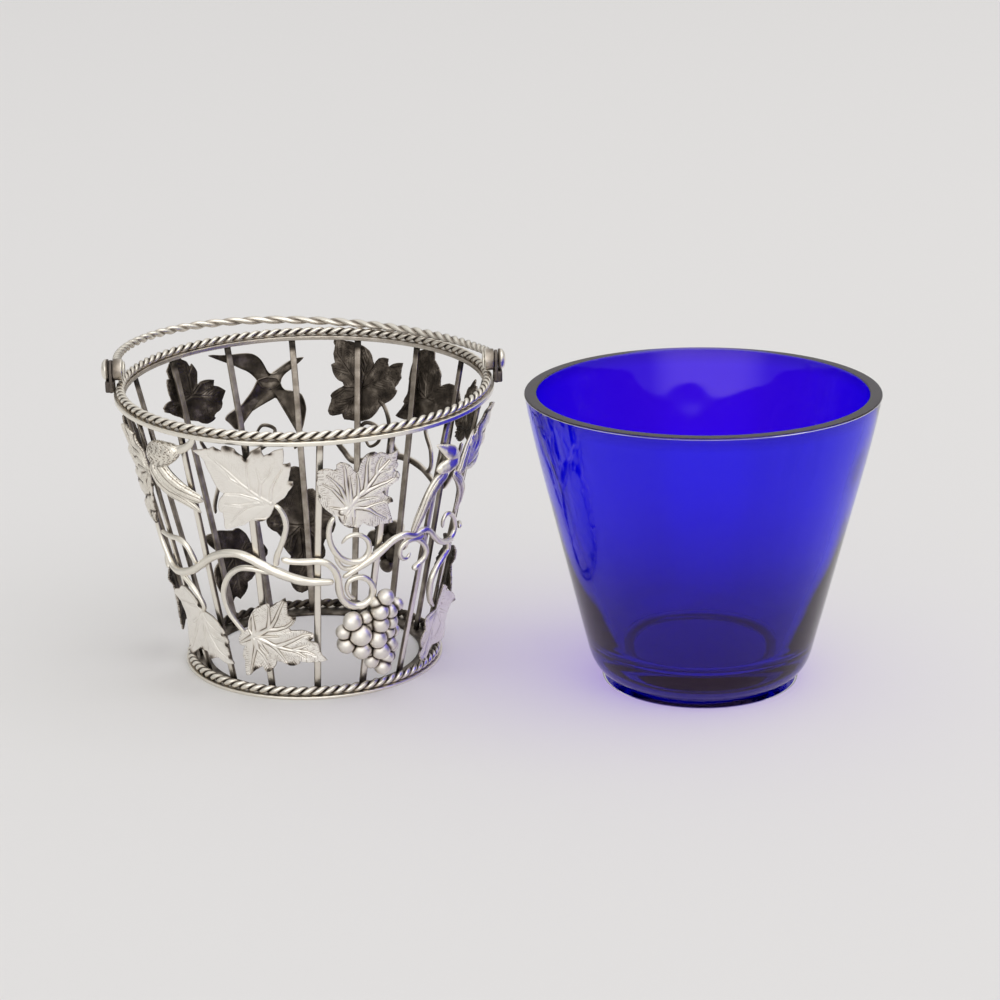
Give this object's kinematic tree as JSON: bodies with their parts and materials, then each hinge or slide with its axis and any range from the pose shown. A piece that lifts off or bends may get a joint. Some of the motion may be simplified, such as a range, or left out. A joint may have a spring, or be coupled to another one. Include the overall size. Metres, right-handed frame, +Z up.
{
  "type": "cream pail",
  "caption": "Open-work silver pail of flat uprights between rope-edged rings, with soldered vine, grapes and birds, a hinged twisted-wire bail and a loose cobalt glass liner beside it.",
  "frame": {"origin": "on the pail's axis, at the level of the table that the pail stands on", "axes": "+Z up the pail's axis; +X along the bail's hinge axis, towards the side where the glass liner stands; +Y to the back, where the bail lies at rest"},
  "size_m": [0.1532, 0.0932, 0.0637],
  "materials": {
    "silver": "polished sterling silver, hand-worn, with dark oxide in the recesses",
    "aged_silver": "silver gone dark grey-brown where no cloth reaches it",
    "cobalt_glass": "clear cobalt-blue glass, fire-polished walls, ground grey lip"
  },
  "bodies": {
    "pail": {"foot_plate": "silver", "foot_rope": "silver", "rim_plate": "silver", "rim_rope": "silver", "upright_01": "silver", "upright_02": "silver", "upright_03": "silver", "upright_04": "silver", "upright_05": "silver", "upright_06": "silver", "upright_07": "silver", "upright_08": "silver", "upright_09": "silver", "upright_10": "silver", "upright_11": "silver", "upright_12": "silver", "upright_13": "silver", "upright_14": "silver", "upright_15": "silver", "upright_16": "silver", "ear_right": "aged_silver", "ear_left": "aged_silver", "rivet_right": "silver", "rivet_left": "silver", "vine_front": "silver", "tendril_front": "silver", "vine_right": "silver", "tendril_right": "silver", "vine_low_left": "silver", "vine_low_right": "silver", "vine_back": "silver", "tendril_back": "silver", "vine_back_left": "silver", "vine_left_low": "silver", "vine_right_side": "silver", "vine_right_high": "silver", "leaf_front_left": "silver", "leaf_front_right": "silver", "leaf_front_low": "silver", "leaf_left_low": "silver", "leaf_right_low": "silver", "leaf_back_left_high": "silver", "leaf_back_right_high": "silver", "leaf_right_back_high": "silver", "leaf_right_high": "silver", "leaf_back_left_low": "silver", "leaf_back_low": "silver", "leaf_left_side": "silver", "leaf_left_high": "silver", "leaf_right_side": "silver", "bird_left": "silver", "bird_right": "silver", "swallow_back": "silver", "grapes_front": "silver", "grapes_back": "silver"},
    "bail": {"bail_rope": "silver", "bail_knuckle_right": "silver", "bail_knuckle_left": "silver"},
    "liner": {"glass_liner": "cobalt_glass"}
  },
  "joints": [
    {"name": "bail_swing", "type": "hinge", "parent": "pail", "child": "bail", "pos_m": [0, 0, 0.0616], "axis": [1, 0, 0], "range_deg": [0, 183]},
    {"name": "liner_lift", "type": "slide", "parent": "pail", "child": "liner", "axis": [0, 0, 1], "range_m": [0, 0.08]}
  ]
}
